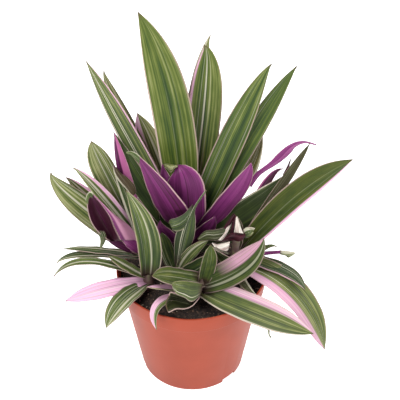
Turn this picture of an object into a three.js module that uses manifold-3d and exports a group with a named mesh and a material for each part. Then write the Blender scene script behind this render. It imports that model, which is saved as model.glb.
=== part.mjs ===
// Potted tradescantia: a clump of six short leafy shoots in a plastic nursery pot.
// Millimetres, +Z up. The origin is the middle of the pot's underside, and the front of the plant faces -Y.

import * as THREE from "three";
import { mergeVertices } from "three/addons/utils/BufferGeometryUtils.js";
import Module from "manifold-3d";

const wasm = await Module();
wasm.setup();

const DEG = Math.PI / 180;

// Clearance left between pieces that touch
const GAP = 0.3;

// Nursery pot, 12 cm across its rim
const POT_HEIGHT = 98;
const POT_RIM_RADIUS = 60;
const POT_BASE_RADIUS = 43;
const POT_WALL = 1.5;
const POT_FLOOR = 2.4;
const POT_SIDES = 40;
const LIP_HEIGHT = 15;
const LIP_STEP = 2.4;
const LIP_DRAFT = 1.8;
const DRAIN_COUNT = 6;
const DRAIN_RADIUS = 3.5;
const DRAIN_CIRCLE = 25;
const NOTCH_COUNT = 3;
const NOTCH_WIDTH = 14;
const NOTCH_HEIGHT = 4;
const NOTCH_DEPTH = 6;
const NOTCH_FIRST_ANGLE = -46;

// Soil, filled to a little under the rim and slightly heaped
const SOIL_LEVEL = 88;
const SOIL_HEAP = 3;

// Stems: short and thick, with their feet in holes in the soil
const STEM_FOOT = 66;
const STEM_SIDES = 12;
const STEM_DOME = 4;

// Leaf blades: thicker along the midrib, folded most at the root
const BLADE_MIDDLE = 1.3;
const BLADE_EDGE = 0.7;
const BLADE_KEEL = 0.25;
const ROOT_FOLD = 28;
const ROOT_LENGTH = 0.3;
const SMALL_LEAF = 62;

// Each shoot: where its stem stands, how high it reaches and its radius
const SHOOTS = [
  { name: "main", at: [-4, 24], top: 124, radius: 7 },
  { name: "left", at: [-36, 16], top: 112, radius: 5.5 },
  { name: "front_left", at: [-34, -15], top: 108, radius: 5 },
  { name: "centre", at: [-12, -3], top: 104, radius: 4 },
  { name: "front", at: [7, -25], top: 108, radius: 5 },
  { name: "right", at: [33, 5], top: 112, radius: 6 },
];

// Each leaf: its shoot, the height of its root, a point half way along its midrib, its tip, and its shape.
// face is the heading that the upper side looks to at the root. roll leans the whole blade over on its
// midrib, and twist turns it from root to tip.
const LEAVES = [
  // The tall fan of the main shoot
  { name: "main_tall", shoot: "main", root: 117, mid: [-14, 27, 227], tip: [-35, 30, 299],
    face: 272, width: 30, fold: 11, taper: 3.2, kind: "green" },
  { name: "main_back", shoot: "main", root: 114, mid: [11.5, 44, 226], tip: [10, 54, 263],
    face: 268, width: 26, fold: 12, taper: 5, kind: "green" },
  { name: "main_back_left", shoot: "main", root: 108, mid: [6, 50, 223], tip: [15, 62, 267],
    face: 272, width: 18, fold: 8, kind: "green" },
  { name: "main_right", shoot: "main", root: 111, mid: [38, 25, 221], tip: [57, 26, 262],
    face: 262, width: 21, fold: 12, taper: 2.8, kind: "green" },
  { name: "main_far_right", shoot: "main", root: 106, mid: [51, 30, 213], tip: [76, 34, 256],
    face: 258, width: 17, fold: 12, kind: "green" },
  { name: "main_left", shoot: "main", root: 109, mid: [-52, 28, 216], tip: [-73, 30, 263],
    face: 280, width: 15, fold: 14, kind: "green" },
  { name: "main_left_back", shoot: "main", root: 104, mid: [-51, 43, 209], tip: [-63, 47, 247],
    face: 275, width: 15, fold: 14, kind: "green" },
  { name: "main_slim", shoot: "main", root: 100, mid: [-24, 38, 160], tip: [-40, 43, 213],
    face: 275, width: 22, fold: 12, base: 0.35, taper: 4.5, kind: "green" },
  { name: "main_left_low", shoot: "main", root: 104, mid: [-37, 17, 163], tip: [-56, 18, 212],
    face: 290, width: 15, fold: 14, base: 0.35, kind: "green" },
  { name: "main_rimmed", shoot: "main", root: 100, mid: [50, 19, 143], tip: [73, 23, 171],
    face: 250, width: 22, fold: 12, base: 0.3, kind: "green" },
  { name: "main_right_low", shoot: "main", root: 96, mid: [38, 32, 152], tip: [54, 36, 200],
    face: 260, width: 14, fold: 14, base: 0.3, kind: "green" },
  // Purple undersides turned to the front, low on the main shoot
  { name: "purple_left", shoot: "main", root: 108, mid: [-20, -7, 169], tip: [-38, -10, 211],
    face: 70, width: 29, fold: 12, base: 0.5, peak: 0.42, taper: 2, kind: "purple" },
  { name: "purple_centre", shoot: "main", root: 104, mid: [-4, 4, 167], tip: [-10, 10, 188],
    face: 95, width: 30, fold: 12, base: 0.3, taper: 6, kind: "purple" },
  { name: "purple_right", shoot: "main", root: 101, mid: [31, 11, 156], tip: [44, 8, 191],
    face: 105, width: 22, fold: 12, base: 0.35, peak: 0.5, kind: "purple" },
  { name: "purple_slim", shoot: "main", root: 96, mid: [60, 27, 174], tip: [92, 30, 193],
    face: 100, width: 8, fold: 16, base: 0.3, peak: 0.6, taper: 1.8, kind: "purple" },
  // The left shoot
  { name: "left_far", shoot: "left", root: 99, mid: [-88, 5, 160], tip: [-102, 2, 188],
    face: 300, width: 20, fold: 12, kind: "green" },
  { name: "left_far_back", shoot: "left", root: 98, mid: [-80, 16, 156], tip: [-94, 14, 175],
    face: 300, width: 14, fold: 12, kind: "green" },
  { name: "left_folded", shoot: "left", root: 103, mid: [-69, 6, 167], tip: [-86, 2, 192],
    face: 310, width: 12, fold: 25, kind: "green" },
  { name: "left_blunt", shoot: "left", root: 105, mid: [-65, 20, 175], tip: [-73, 20, 203],
    face: 280, width: 19, fold: 12, peak: 0.55, taper: 5, kind: "green" },
  { name: "left_magenta", shoot: "left", root: 107, mid: [-49, 12, 174], tip: [-55, 13, 214],
    face: 100, width: 10.5, fold: 16, base: 0.3, kind: "purple" },
  { name: "left_purple", shoot: "left", root: 97, mid: [-65, -5, 149], tip: [-70, -8, 177],
    face: 110, width: 20, fold: -22, base: 0.35, kind: "purple" },
  { name: "left_strap_upper", shoot: "left", root: 95, mid: [-77, 1, 114], tip: [-99, -4, 120],
    width: 9, fold: 14, kind: "green" },
  { name: "left_strap_middle", shoot: "left", root: 92, mid: [-83, -3, 113], tip: [-105, -8, 109],
    width: 10, fold: 14, kind: "green" },
  // The front left shoot
  { name: "left_strap_lower", shoot: "front_left", root: 98, mid: [-78, -18, 119], tip: [-106, -20, 106],
    width: 9, fold: 14, kind: "green" },
  { name: "front_left_short", shoot: "front_left", root: 99, mid: [-51, -14, 110], tip: [-64, -14, 121],
    width: 12, fold: 14, base: 0.6, kind: "green" },
  { name: "front_left_tall", shoot: "front_left", root: 104, mid: [-33, -16, 147], tip: [-46, -20, 187],
    face: 268, width: 19, fold: 18, base: 0.8, peak: 0.35, taper: 2.4, kind: "green" },
  { name: "front_left_pink", shoot: "front_left", root: 96, mid: [-69, -33, 103], tip: [-95, -41, 100],
    roll: -18, width: 15, fold: 8, kind: "pink" },
  { name: "front_left_drooping", shoot: "front_left", root: 94, mid: [-52, -44, 102], tip: [-63, -64, 95],
    width: 17, fold: 12, kind: "green" },
  // Small leaves of the centre shoot
  { name: "centre_tall", shoot: "centre", root: 97, mid: [-7, -7, 145], tip: [11, -14, 186],
    face: 268, width: 20, fold: 26, base: 0.3, peak: 0.42, taper: 0.6, kind: "green" },
  { name: "centre_round", shoot: "centre", root: 94, mid: [-20, -2, 118], tip: [-23, -2, 134],
    face: 280, width: 12, fold: 14, taper: 4, kind: "green" },
  { name: "centre_right", shoot: "centre", root: 96, mid: [0, -8, 120], tip: [13, -8, 131],
    face: 265, width: 11, fold: 14, base: 0.5, kind: "green" },
  // The front shoot
  { name: "front_across", shoot: "front", root: 103, mid: [-10, -34, 115], tip: [-29, -44, 127],
    roll: -12, width: 21, fold: 12, base: 0.85, kind: "green" },
  { name: "front_pink_tip", shoot: "front", root: 96, mid: [-15, -41, 112], tip: [-33, -50, 122],
    width: 9, fold: 10, kind: "pink" },
  { name: "front_curled", shoot: "front", root: 95, mid: [-3, -51, 108], tip: [-16, -64, 114],
    width: 15, fold: 22, kind: "green" },
  { name: "front_small", shoot: "front", root: 92, mid: [-23, -54, 110], tip: [-26, -68, 97],
    width: 9, fold: 14, kind: "pink" },
  { name: "front_right_long", shoot: "front", root: 97, mid: [46, -57, 104], tip: [87, -75, 98],
    roll: 22, width: 23, fold: 12, base: 0.75, kind: "green" },
  { name: "bract_ruffled", shoot: "right", root: 104, mid: [17, -9, 122], tip: [10, -14, 121],
    width: 8, fold: 14, base: 0.6, kind: "pink" },
  { name: "front_right_up", shoot: "front", root: 102, mid: [38, -31, 126], tip: [53, -26, 147],
    face: 235, width: 21, fold: 14, base: 0.8, kind: "green" },
  { name: "front_inner", shoot: "front", root: 105, mid: [13, -24, 123], tip: [14, -22, 138],
    face: 268, width: 12, fold: 16, base: 0.8, kind: "green" },
  // The right shoot
  { name: "right_long", shoot: "right", root: 102, mid: [76, 6, 159.5], tip: [118, 6, 194.5],
    face: 235, width: 20, fold: 10, peak: 0.5, kind: "green" },
  { name: "right_dark", shoot: "right", root: 107, mid: [73, 16, 172.5], tip: [87, 15, 203],
    face: 245, width: 8, fold: 10, base: 0.6, kind: "green" },
  { name: "right_behind", shoot: "right", root: 98, mid: [55, 25, 153], tip: [72, 36, 166],
    face: 65, width: 9, fold: 14, base: 0.5, kind: "purple" },
  { name: "right_drooping", shoot: "right", root: 98, mid: [77, -27, 95], tip: [104, -44, 48],
    roll: 14, width: 24, fold: 10, base: 0.75, kind: "green" },
  { name: "right_twisted", shoot: "right", root: 103, mid: [70, -13, 104], tip: [86, -32, 101],
    roll: 10, width: 13, fold: 20, kind: "green" },
  { name: "right_small_low", shoot: "right", root: 93, mid: [40, -34, 107], tip: [49, -42, 104],
    width: 8, fold: 14, kind: "green" },
  { name: "right_slim", shoot: "right", root: 90, mid: [56, 5, 110], tip: [67, 6, 112],
    width: 7, fold: 14, kind: "green" },
  { name: "right_tip", shoot: "right", root: 94, mid: [63, -2, 113], tip: [80, -4, 115],
    width: 5, fold: 14, base: 0.6, kind: "pink" },
  { name: "bract", shoot: "right", root: 106, mid: [35, -2, 137], tip: [33, -2, 150],
    face: 290, width: 10, fold: 26, kind: "pink" },
  { name: "bract_low", shoot: "right", root: 105, mid: [19, -5, 136], tip: [4, -9, 133],
    width: 9, fold: 16, base: 0.5, kind: "green" },
  // Leaves arching down behind the clump
  { name: "back_left", shoot: "main", root: 102, mid: [-32, 62, 132], tip: [-48, 84, 112],
    width: 22, fold: 12, kind: "green" },
  { name: "back_middle", shoot: "main", root: 105, mid: [-3, 70, 138], tip: [-4, 100, 116],
    width: 24, fold: 12, kind: "green" },
  { name: "back_right", shoot: "main", root: 102, mid: [30, 62, 132], tip: [44, 86, 112],
    width: 22, fold: 12, kind: "green" },
];

const COLOURS = {
  terracotta: { color: "#c5674f", roughness: 0.55, metalness: 0 },
  soil: { color: "#2a1e18", roughness: 1, metalness: 0 },
  stem: { color: "#7b5a6a", roughness: 0.7, metalness: 0 },
  green: { color: "#64803f", roughness: 0.45, metalness: 0 },
  purple: { color: "#7b3468", roughness: 0.45, metalness: 0 },
  pink: { color: "#dfa5bd", roughness: 0.5, metalness: 0 },
};

function material(kind) {
  return new THREE.MeshStandardMaterial({ ...COLOURS[kind], side: THREE.FrontSide });
}

function solidFrom(positions, indices) {
  const mesh = new wasm.Mesh({
    numProp: 3,
    vertProperties: new Float32Array(positions),
    triVerts: new Uint32Array(indices),
  });
  return new wasm.Manifold(mesh);
}

function toSolid(geometry) {
  const bare = geometry.clone();
  bare.deleteAttribute("normal");
  bare.deleteAttribute("uv");
  const merged = mergeVertices(bare, 1e-4);
  return solidFrom(merged.attributes.position.array, merged.index.array);
}

function toGeometry(solid) {
  const mesh = solid.getMesh();
  const geometry = new THREE.BufferGeometry();
  geometry.setAttribute("position", new THREE.BufferAttribute(new Float32Array(mesh.vertProperties), 3));
  geometry.setIndex(new THREE.BufferAttribute(new Uint32Array(mesh.triVerts), 1));
  geometry.computeVertexNormals();
  return geometry;
}

// A closed profile of [radius, height] points turned about the Z axis
function turned(profile, sides) {
  const points = profile.map(([radius, height]) => new THREE.Vector2(radius, height));
  return new THREE.LatheGeometry(points, sides).rotateX(Math.PI / 2);
}

function turnedAt(profile, sides, x, y) {
  return toSolid(turned(profile, sides).translate(x, y, 0));
}

function rodAt(radius, bottom, top, sides, x, y) {
  return turnedAt([[0, bottom], [radius, bottom], [radius, top], [0, top]], sides, x, y);
}

// Radius of the pot's outer wall below the lip, at a height
const LIP_BOTTOM = POT_HEIGHT - LIP_HEIGHT;
const LIP_BOTTOM_RADIUS = POT_RIM_RADIUS - LIP_DRAFT;
const WALL_TOP_RADIUS = LIP_BOTTOM_RADIUS - LIP_STEP;

function wallRadius(height) {
  return THREE.MathUtils.lerp(POT_BASE_RADIUS, WALL_TOP_RADIUS, height / LIP_BOTTOM);
}

function makePot() {
  const shelf = LIP_BOTTOM + POT_WALL;
  const profile = [
    [0, 0],
    [POT_BASE_RADIUS - 1, 0],
    [POT_BASE_RADIUS, 1],
    [WALL_TOP_RADIUS, LIP_BOTTOM],
    [LIP_BOTTOM_RADIUS, LIP_BOTTOM],
    [POT_RIM_RADIUS, POT_HEIGHT - 0.6],
    [POT_RIM_RADIUS - 0.5, POT_HEIGHT],
    [POT_RIM_RADIUS - POT_WALL, POT_HEIGHT],
    [LIP_BOTTOM_RADIUS - POT_WALL, shelf],
    [WALL_TOP_RADIUS - POT_WALL, shelf - 0.4],
    [wallRadius(POT_FLOOR) - POT_WALL, POT_FLOOR],
    [0, POT_FLOOR],
  ];
  let pot = toSolid(turned(profile, POT_SIDES));
  for (let i = 0; i < DRAIN_COUNT; i += 1) {
    const angle = (360 / DRAIN_COUNT) * i * DEG;
    const x = DRAIN_CIRCLE * Math.cos(angle);
    const y = DRAIN_CIRCLE * Math.sin(angle);
    pot = pot.subtract(rodAt(DRAIN_RADIUS, -1, POT_FLOOR + 1, STEM_SIDES, x, y));
  }
  for (let i = 0; i < NOTCH_COUNT; i += 1) {
    const angle = (NOTCH_FIRST_ANGLE + (360 / NOTCH_COUNT) * i) * DEG;
    const notch = new THREE.BoxGeometry(2 * NOTCH_DEPTH, NOTCH_WIDTH, 2 * NOTCH_HEIGHT);
    notch.translate(POT_BASE_RADIUS, 0, 0).rotateZ(angle);
    pot = pot.subtract(toSolid(notch));
  }
  return pot;
}

function makeStem(shoot) {
  const [x, y] = shoot.at;
  const shoulder = shoot.top - STEM_DOME;
  const profile = [
    [0, STEM_FOOT],
    [shoot.radius * 0.7, STEM_FOOT],
    [shoot.radius, STEM_FOOT + STEM_DOME],
    [shoot.radius, shoulder],
    [shoot.radius * 0.65, shoot.top - 1],
    [0, shoot.top],
  ];
  return turnedAt(profile, STEM_SIDES, x, y);
}

function makeSoil() {
  const shelf = LIP_BOTTOM + POT_WALL;
  const rimSlope = LIP_DRAFT / LIP_HEIGHT;
  const edgeRadius = LIP_BOTTOM_RADIUS - POT_WALL - GAP + (SOIL_LEVEL - shelf) * rimSlope;
  const profile = [
    [0, POT_FLOOR + GAP],
    [wallRadius(POT_FLOOR) - POT_WALL - GAP - 0.2, POT_FLOOR + GAP],
    [WALL_TOP_RADIUS - POT_WALL - GAP, shelf - 0.4],
    [WALL_TOP_RADIUS - POT_WALL - GAP, shelf + GAP],
    [LIP_BOTTOM_RADIUS - POT_WALL - GAP, shelf + GAP],
    [edgeRadius, SOIL_LEVEL],
    [POT_RIM_RADIUS * 0.6, SOIL_LEVEL + SOIL_HEAP * 0.7],
    [0, SOIL_LEVEL + SOIL_HEAP],
  ];
  let soil = toSolid(turned(profile, POT_SIDES));
  for (const shoot of SHOOTS) {
    const [x, y] = shoot.at;
    const hole = rodAt(shoot.radius + GAP, STEM_FOOT - GAP, POT_HEIGHT, STEM_SIDES, x, y);
    soil = soil.subtract(hole);
  }
  return soil;
}

function headingVector(degrees) {
  return new THREE.Vector3(Math.cos(degrees * DEG), Math.sin(degrees * DEG), 0);
}

// The midrib: a parabola from the stem through the half-way point to the tip
function midribOf(leaf, shoot) {
  const axis = new THREE.Vector3(shoot.at[0], shoot.at[1], leaf.root);
  const mid = new THREE.Vector3(...leaf.mid);
  const tip = new THREE.Vector3(...leaf.tip);
  const heading = Math.atan2(mid.y - axis.y, mid.x - axis.x) / DEG;
  const root = axis.clone().addScaledVector(headingVector(heading), shoot.radius * 0.7);
  const handle = mid.clone().multiplyScalar(2).addScaledVector(root, -0.5).addScaledVector(tip, -0.5);
  return { curve: new THREE.QuadraticBezierCurve3(root, handle, tip), heading };
}

// Share of the full width at a share of the length
function widthShare(leaf, along) {
  const base = leaf.base ?? 0.42;
  const peak = leaf.peak ?? 0.45;
  const taper = leaf.taper ?? 3;
  if (along < peak) {
    return base + (1 - base) * Math.sin((Math.PI / 2) * (along / peak));
  }
  return 1 - ((along - peak) / (1 - peak)) ** taper;
}

function foldAngle(leaf, along) {
  const fold = leaf.fold ?? 14;
  const nearRoot = Math.max(0, 1 - along / ROOT_LENGTH) ** 1.5;
  return (fold + (ROOT_FOLD - fold) * nearRoot) * DEG;
}

// Height of the folded blade's section at a place across it, 0 at the midrib and 1 at an edge
function keelHeight(across) {
  const rise = Math.hypot(across, BLADE_KEEL) - BLADE_KEEL;
  return rise / (Math.hypot(1, BLADE_KEEL) - BLADE_KEEL);
}

// A closed blade. extra makes it thicker and wider all round, for cutting clearance.
function makeBlade(leaf, shoot, extra = 0) {
  const { curve, heading } = midribOf(leaf, shoot);
  const length = curve.getLength();
  const small = length < SMALL_LEAF;
  const stations = small ? 7 : 10;
  const strips = small ? 2 : 4;
  const positions = [];
  let side = headingVector((leaf.face ?? heading + 180) - 90);
  for (let i = 0; i <= stations; i += 1) {
    const along = i / stations;
    const centre = curve.getPointAt(along);
    const tangent = curve.getTangentAt(along);
    if (extra && i === 0) centre.addScaledVector(tangent, -extra);
    if (extra && i === stations) centre.addScaledVector(tangent, extra);
    side = side.clone().addScaledVector(tangent, -side.dot(tangent)).normalize();
    const turn = ((leaf.roll ?? 0) + (leaf.twist ?? 0) * along) * DEG;
    const across = side.clone().applyAxisAngle(tangent, turn);
    const upper = new THREE.Vector3().crossVectors(tangent, across);
    const half = Math.max(leaf.width * 0.5 * widthShare(leaf, along), 0.5);
    const fold = foldAngle(leaf, along);
    for (const face of [1, -1]) {
      for (let j = 0; j <= strips; j += 1) {
        const u = (2 * j) / strips - 1;
        const thickness = THREE.MathUtils.lerp(BLADE_MIDDLE, BLADE_EDGE, Math.abs(u));
        const sideways = half * u * Math.cos(fold) + extra * u;
        const lift = half * Math.sin(fold) * keelHeight(Math.abs(u)) + face * (thickness / 2 + extra);
        const point = centre.clone().addScaledVector(across, sideways).addScaledVector(upper, lift);
        positions.push(point.x, point.y, point.z);
      }
    }
  }
  return solidFrom(positions, bladeFaces(stations, strips));
}

// Triangles of a blade whose stations each hold an upper and then a lower row of points
function bladeFaces(stations, strips) {
  const row = strips + 1;
  const upper = (i, j) => i * 2 * row + j;
  const lower = (i, j) => i * 2 * row + row + j;
  const faces = [];
  const quad = (a, b, c, d) => faces.push(a, b, c, a, c, d);
  for (let i = 0; i < stations; i += 1) {
    for (let j = 0; j < strips; j += 1) {
      quad(upper(i, j), upper(i + 1, j), upper(i + 1, j + 1), upper(i, j + 1));
      faces.push(lower(i, j), lower(i + 1, j + 1), lower(i + 1, j));
      faces.push(lower(i, j), lower(i, j + 1), lower(i + 1, j + 1));
    }
    quad(upper(i, 0), lower(i, 0), lower(i + 1, 0), upper(i + 1, 0));
    quad(upper(i, strips), upper(i + 1, strips), lower(i + 1, strips), lower(i, strips));
  }
  for (let j = 0; j < strips; j += 1) {
    quad(upper(0, j), upper(0, j + 1), lower(0, j + 1), lower(0, j));
    quad(upper(stations, j), lower(stations, j), lower(stations, j + 1), upper(stations, j + 1));
  }
  return faces;
}

function largestBody(solid) {
  const bodies = solid.decompose();
  return bodies.reduce((best, body) => (body.volume() > best.volume() ? body : best));
}

function boxesMeet(a, b) {
  const first = a.boundingBox();
  const second = b.boundingBox();
  return [0, 1, 2].every((k) => first.min[k] <= second.max[k] && second.min[k] <= first.max[k]);
}

// Leaves are cut clear of their stem, the pot's rim and the leaves before them in the list
function makeLeaves() {
  const cutters = SHOOTS.map((shoot) => makeStem({ ...shoot, radius: shoot.radius + GAP, top: shoot.top + GAP }));
  const blades = new Map();
  for (const leaf of LEAVES) {
    const shoot = SHOOTS.find((candidate) => candidate.name === leaf.shoot);
    let blade = makeBlade(leaf, shoot);
    for (const cutter of cutters) {
      if (boxesMeet(blade, cutter)) blade = blade.subtract(cutter);
    }
    blade = largestBody(blade);
    cutters.push(makeBlade(leaf, shoot, GAP));
    blades.set(leaf.name, blade);
  }
  return blades;
}

function makePlant() {
  const plant = new THREE.Group();
  const add = (name, solid, kind) => {
    const mesh = new THREE.Mesh(toGeometry(solid), material(kind));
    mesh.name = name;
    plant.add(mesh);
  };
  add("pot", makePot(), "terracotta");
  add("soil", makeSoil(), "soil");
  for (const shoot of SHOOTS) add(`${shoot.name}_stem`, makeStem(shoot), "stem");
  const blades = makeLeaves();
  for (const leaf of LEAVES) add(`leaf_${leaf.name}`, blades.get(leaf.name), leaf.kind);
  return plant;
}

export default makePlant();
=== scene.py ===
"""Potted tradescantia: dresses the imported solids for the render.

The tables of the plant and its pot are in millimetres. Lights and floor are in metres, like the scene.
"""

import math
import random

import bmesh
import bpy
import numpy as np
from mathutils import Matrix, Vector, noise


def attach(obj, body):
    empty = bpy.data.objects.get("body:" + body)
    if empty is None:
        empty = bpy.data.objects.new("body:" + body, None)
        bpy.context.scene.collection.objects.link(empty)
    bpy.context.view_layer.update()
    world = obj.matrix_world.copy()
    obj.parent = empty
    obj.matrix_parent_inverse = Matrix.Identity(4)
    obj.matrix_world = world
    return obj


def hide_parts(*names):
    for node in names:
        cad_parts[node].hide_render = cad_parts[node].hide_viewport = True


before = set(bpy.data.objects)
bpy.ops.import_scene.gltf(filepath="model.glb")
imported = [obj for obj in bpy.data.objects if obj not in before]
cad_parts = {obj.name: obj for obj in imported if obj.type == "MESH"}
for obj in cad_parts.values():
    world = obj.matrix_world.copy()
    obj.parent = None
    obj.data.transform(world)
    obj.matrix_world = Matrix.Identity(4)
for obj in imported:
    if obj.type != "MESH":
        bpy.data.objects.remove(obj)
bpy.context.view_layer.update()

MM = 0.001
RANDOM_SEED = 7

# Camera: place, lens and sensor in millimetres, and its turn down and to the right in degrees
CAMERA_PLACE = (0, -472, 515)
CAMERA_DOWN = 36.7
CAMERA_RIGHT = 0.78
CAMERA_LENS = 71.1
CAMERA_SENSOR = 36

# Softboxes: place and size in metres, power in watts
LIGHTS = {
    "front_left_softbox": dict(place=(-0.8, -1.3, 1.6), power=36, size=0.8),
    "right_softbox": dict(place=(1.3, -0.9, 1.1), power=17, size=0.9),
    "top_softbox": dict(place=(0.1, 0.5, 1.9), power=26, size=1.1),
}
LIGHT_TARGET = (0, 0, 0.12)
WORLD_STRENGTH = 0.22
FLOOR_REACH = 60
FLOOR_GLOW = 0.72

# Nursery pot
POT_HEIGHT = 98
POT_RIM_RADIUS = 60
POT_BASE_RADIUS = 43
POT_WALL = 1.5
POT_FLOOR = 2.4
POT_SIDES = 144
POT_ROUNDING = 0.7
POT_CREASE_ANGLE = 35
LIP_HEIGHT = 15
LIP_STEP = 2.4
LIP_DRAFT = 1.8
LIP_BOTTOM = POT_HEIGHT - LIP_HEIGHT
LIP_BOTTOM_RADIUS = POT_RIM_RADIUS - LIP_DRAFT
SHELF_HEIGHT = LIP_BOTTOM + POT_WALL
SHELF_SLOPE = 0.4
WALL_TOP_RADIUS = LIP_BOTTOM_RADIUS - LIP_STEP
DRAIN_COUNT = 6
DRAIN_RADIUS = 3.5
DRAIN_CIRCLE = 25
DRAIN_SIDES = 32
NOTCH_COUNT = 3
NOTCH_WIDTH = 14
NOTCH_HEIGHT = 4
NOTCH_DEPTH = 6
NOTCH_FIRST_ANGLE = -46

# Soil, with its coarse and fine lumps as (size, octaves of detail, height)
SOIL_LEVEL = 88
SOIL_HEAP = 3
SOIL_LUMPS = ((9, 4, 0.9), (2.6, 3, 0.5))
SOIL_GAP = 0.3
SOIL_FOOT_GAP = 0.5
SOIL_RINGS = 60
SOIL_SIDES = 180
CRUMB_COUNT = 1500
CRUMB_MARGIN = 2.5
CRUMB_SIZES = (0.3, 1.1)
CRUMB_STRETCHES = (0.5, 2.6)
STRETCHED_CRUMBS = 0.3
CRUMB_TILT = 0.5
CRUMB_FLATNESS = 0.7
CRUMB_LIFT = 0.15
CRUMB_ROUGHNESS = 0.15

# Stems: the height of the foot in the soil, the rings, and profiles as (share of the radius, rise)
STEM_FOOT = 66
STEM_SIDES = 40
STEM_ROUNDING = 0.6
STEM_FOOT_SHAPE = ((0, 0), (0.7, 0), (1, 4))
STEM_RING_SHAPE = ((0.97, 0), (1, 1.4), (0.95, 2))
STEM_TOP_SHAPE = ((0.8, -9), (0.35, -4), (0.2, -1), (0, 0))
RING_START = 6
RING_SPACING = 4.5
RINGLESS_TOP = 14

# The stub of an old flower stalk under the bract
STUB_TOP = (34, -9, 133)
STUB_FOOT = (33, -7, 112)
STUB_RADIUS = 3.2
STUB_ROUNDING = 0.8
STUB_SIDES = 32

# Leaf blades: thickness, fold, ripple of the margins, and grids as (stations along, strips across)
BLADE_MIDDLE = 1.1
BLADE_EDGE = 0.4
LEAST_HALF_WIDTH = 0.25
ROOT_FOLD = 40
ROOT_LENGTH = 0.3
ROOT_REACH = 0.35
MIDRIB_SAMPLES = 400
SECTION_STEPS = 12
FOLD_REACH = 0.35
RIPPLE = 0.35
RIPPLE_WAVES = 4
RIPPLE_FADE = 1.1
RIPPLE_END = 0.9
FULL_GRID = (48, 16)
SMALL_GRID = (28, 10)
SMALL_LEAF = 62

# Creased sheets
SHEET_STEPS = 6
SHEET_THICKNESS = 0.6

# Each shoot: where its stem stands, how high it reaches and its radius
SHOOTS = {
    "main": dict(at=(-4, 24), top=124, radius=7),
    "left": dict(at=(-36, 16), top=112, radius=5.5),
    "front_left": dict(at=(-34, -15), top=108, radius=5),
    "centre": dict(at=(-12, -3), top=104, radius=4),
    "front": dict(at=(7, -25), top=108, radius=5),
    "right": dict(at=(33, 5), top=112, radius=6),
}

# Marks of a leaf. pink and pale are bands, as places across the upper side from -1 (left margin) to 1;
# pink_start is how far along the blade the pink begins, and dusk dulls it to mauve as painted
# shade. tone lightens (above 0) or darkens, partly as the leaf's own tone and partly as painted
# light and shade for how the leaf is lit; warm turns green to olive and brown to brown; cream is how
# strong the hairlines are.
NO_BAND = (9, 10)
PLAIN_MARKS = dict(tone=0, warm=0, brown=0, dusk=0, pink_start=-1, cream=0.6, pink=NO_BAND, pale=NO_BAND)


def blade(shoot, root, mid, tip, width, **more):
    """A leaf: its shoot, the height of its root, a point half way along its midrib, its tip and its width.

    face is the heading that the upper side looks to at the root, roll leans the blade over on its midrib,
    and fold lifts its halves, all in degrees. base is the share of the width at the root, peak the place
    of the full width, and a high taper keeps the blade broad until close to its tip.
    """
    leaf = dict(shoot=shoot, root=root, mid=mid, tip=tip, width=width, kind="green")
    leaf.update(fold=14, base=0.42, peak=0.45, taper=3, roll=0)
    leaf.update(more)
    return leaf


def crumpled(kind, *sheets):
    """A leaf made of creased sheets, each a net of points with its marks."""
    return dict(kind=kind, sheets=sheets)


def sheet(kind, net, **marks):
    return dict(kind=kind, net=net, marks=marks)


# Crumpled pieces, each a small net of points: rows run along the piece, points in a row run across it
CURLED_LID = [
    [(8, -44, 119), (7, -50, 119.5), (5.5, -53, 115.5)],
    [(0.5, -46, 123), (0.5, -54, 121.5), (-0.5, -57, 114)],
    [(-6, -47, 125), (-5.5, -55, 124.5), (-5.5, -57, 118)],
    [(-11, -49, 126.5), (-11, -54, 125.5), (-11, -57, 121.5)],
    [(-14.5, -51, 127), (-14.5, -53, 127.5), (-14, -55, 125.5)],
]
CURLED_INSIDE = [
    [(5.5, -52, 114), (5.5, -53, 114.5), (5.5, -54, 115)],
    [(-0.5, -56, 113), (0, -50, 104.5), (0, -60, 112.5)],
    [(-5.5, -56, 117.5), (-6, -48, 104), (-5.5, -62, 111.5)],
    [(-11.5, -56, 121), (-12.5, -49, 107), (-11.5, -63, 112.5)],
    [(-15.5, -56, 122.5), (-17, -53, 111), (-16, -64, 110.5)],
    [(-16.5, -58, 121), (-19, -60, 115), (-17.5, -64, 110.5)],
]
RIGHT_TIP = [
    [(54, -2, 114), (54, -3, 112.5), (54.5, -2, 110)],
    [(61, -2, 114.5), (61, -3, 113), (61.5, -2, 111)],
    [(70, -2, 115), (70, -3, 113.5), (70, -2, 112)],
]
RIGHT_TIP_END = [
    [(69, -2.5, 111.5), (69, -3.5, 113), (69, -2.5, 115.5)],
    [(73.5, -2.5, 110), (73.5, -3.5, 112), (73.5, -2.5, 114.8)],
    [(76, -2.5, 108), (77, -3.5, 112), (77, -2.5, 114.2)],
    [(80.5, -2.5, 112), (80.5, -3, 112.5), (80.5, -2.5, 113.5)],
]
SLIM_LEAF = [
    [(44.5, 26, 160), (45.5, 25, 158), (46.5, 26, 155.5)],
    [(49.5, 27, 168.5), (51, 26, 167), (52, 27, 165)],
    [(54.5, 27, 173.5), (56, 26, 172.5), (57.5, 27, 170.5)],
    [(60, 28, 178), (62, 27, 176.5), (64, 28, 174.5)],
    [(65.5, 29, 184.5), (68.5, 28, 182), (71, 29, 180)],
    [(70.5, 29, 190), (73, 28, 188.5), (76, 29, 186)],
    [(75.5, 30, 193), (77, 29, 192), (78.5, 30, 189.5)],
    [(80.5, 30, 195), (81.5, 29, 194.5), (82.5, 30, 192.5)],
    [(86.5, 30, 195), (87, 29, 195), (87.5, 30, 193.5)],
    [(94.5, 30, 192.5), (94.5, 30, 192), (94.5, 30, 191.5)],
]
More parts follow.
